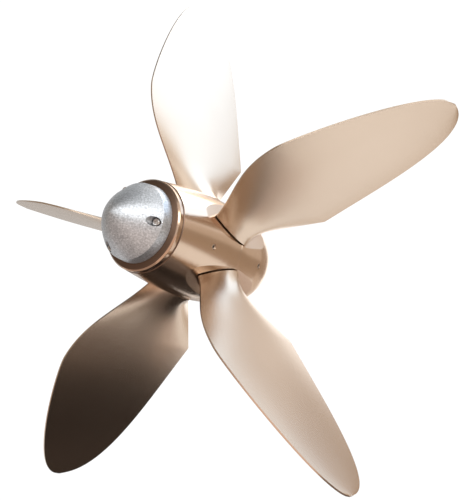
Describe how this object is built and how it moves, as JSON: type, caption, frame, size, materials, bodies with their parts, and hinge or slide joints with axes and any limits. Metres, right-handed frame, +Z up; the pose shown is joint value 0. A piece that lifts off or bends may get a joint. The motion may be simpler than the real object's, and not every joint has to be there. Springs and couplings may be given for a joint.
{
  "type": "feathering ship propeller",
  "caption": "Bronze feathering ship propeller with turning blades on a split hub and a zinc anode at its nose.",
  "frame": {"origin": "on the shaft axis, at the centre of the face where the shaft enters", "axes": "+Y along the shaft axis, from the nose towards the ship; +Z up, along the spindle of blade_1; +X completes the right-handed frame"},
  "size_m": [0.7996, 0.3113, 0.7605],
  "materials": {
    "hub_bronze": "polished bronze, turned",
    "boss_bronze": "machined bronze",
    "ring_bronze": "darker turned bronze",
    "zinc": "bare cast zinc, mottled",
    "screw_steel": "stainless steel",
    "blade_bronze": "satin polished bronze"
  },
  "bodies": {
    "hub": {"hub_aft_half": "hub_bronze", "hub_forward_half": "hub_bronze", "drive_boss": "boss_bronze", "anode_ring": "ring_bronze", "nose_anode": "zinc", "anode_screw_1": "screw_steel", "anode_screw_2": "screw_steel", "anode_screw_3": "screw_steel", "hub_screw_1": "screw_steel", "hub_screw_2": "screw_steel", "hub_screw_3": "screw_steel", "hub_screw_4": "screw_steel", "hub_screw_5": "screw_steel", "aft_lock_screw": "screw_steel", "forward_lock_screw": "screw_steel"},
    "blade_1": {"blade_1": "blade_bronze"},
    "blade_2": {"blade_2": "blade_bronze"},
    "blade_3": {"blade_3": "blade_bronze"},
    "blade_4": {"blade_4": "blade_bronze"},
    "blade_5": {"blade_5": "blade_bronze"}
  },
  "joints": [
    {"name": "blade_1_pitch", "type": "hinge", "parent": "hub", "child": "blade_1", "pos_m": [0, -0.115, 0], "axis": [0, 0, 1], "range_deg": [-68, 68]},
    {"name": "blade_2_pitch", "type": "hinge", "parent": "hub", "child": "blade_2", "pos_m": [0, -0.115, 0], "axis": [0.9511, 0, 0.309], "range_deg": [-68, 68]},
    {"name": "blade_3_pitch", "type": "hinge", "parent": "hub", "child": "blade_3", "pos_m": [0, -0.115, 0], "axis": [0.5878, 0, -0.809], "range_deg": [-68, 68]},
    {"name": "blade_4_pitch", "type": "hinge", "parent": "hub", "child": "blade_4", "pos_m": [0, -0.115, 0], "axis": [-0.5878, 0, -0.809], "range_deg": [-68, 68]},
    {"name": "blade_5_pitch", "type": "hinge", "parent": "hub", "child": "blade_5", "pos_m": [0, -0.115, 0], "axis": [-0.9511, 0, 0.309], "range_deg": [-68, 68]}
  ],
  "couplings": [
    {"joint": "blade_2_pitch", "follows": "blade_1_pitch", "ratio": 1},
    {"joint": "blade_3_pitch", "follows": "blade_1_pitch", "ratio": 1},
    {"joint": "blade_4_pitch", "follows": "blade_1_pitch", "ratio": 1},
    {"joint": "blade_5_pitch", "follows": "blade_1_pitch", "ratio": 1}
  ]
}
